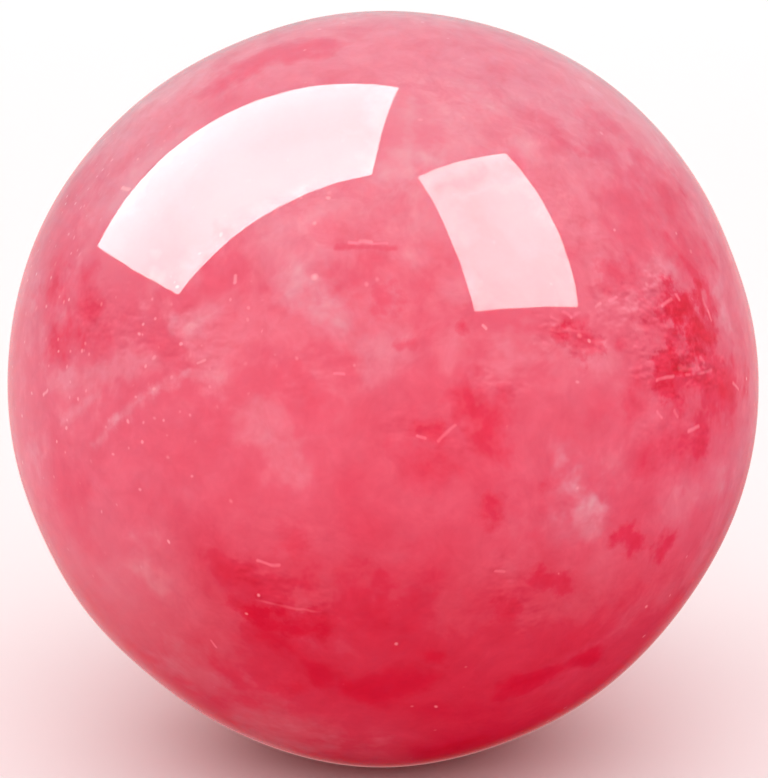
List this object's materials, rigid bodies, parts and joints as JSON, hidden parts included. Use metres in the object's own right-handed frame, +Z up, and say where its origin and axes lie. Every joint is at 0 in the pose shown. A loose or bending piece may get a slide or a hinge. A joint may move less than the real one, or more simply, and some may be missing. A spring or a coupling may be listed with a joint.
{
  "type": "polished rhodonite ball",
  "caption": "Polished ball of translucent pink-red rhodonite, ground from one stone, that rests on a small flat underneath",
  "frame": {"origin": "middle of the small flat that the ball rests on", "axes": "+Z is up, away from the resting flat; +X and +Y are level, and the side that the picture shows faces -Y"},
  "size_m": [0.04, 0.04, 0.0398],
  "materials": {
    "rhodonite": "polished"
  },
  "bodies": {
    "root": {"ball": "rhodonite"}
  },
  "joints": []
}
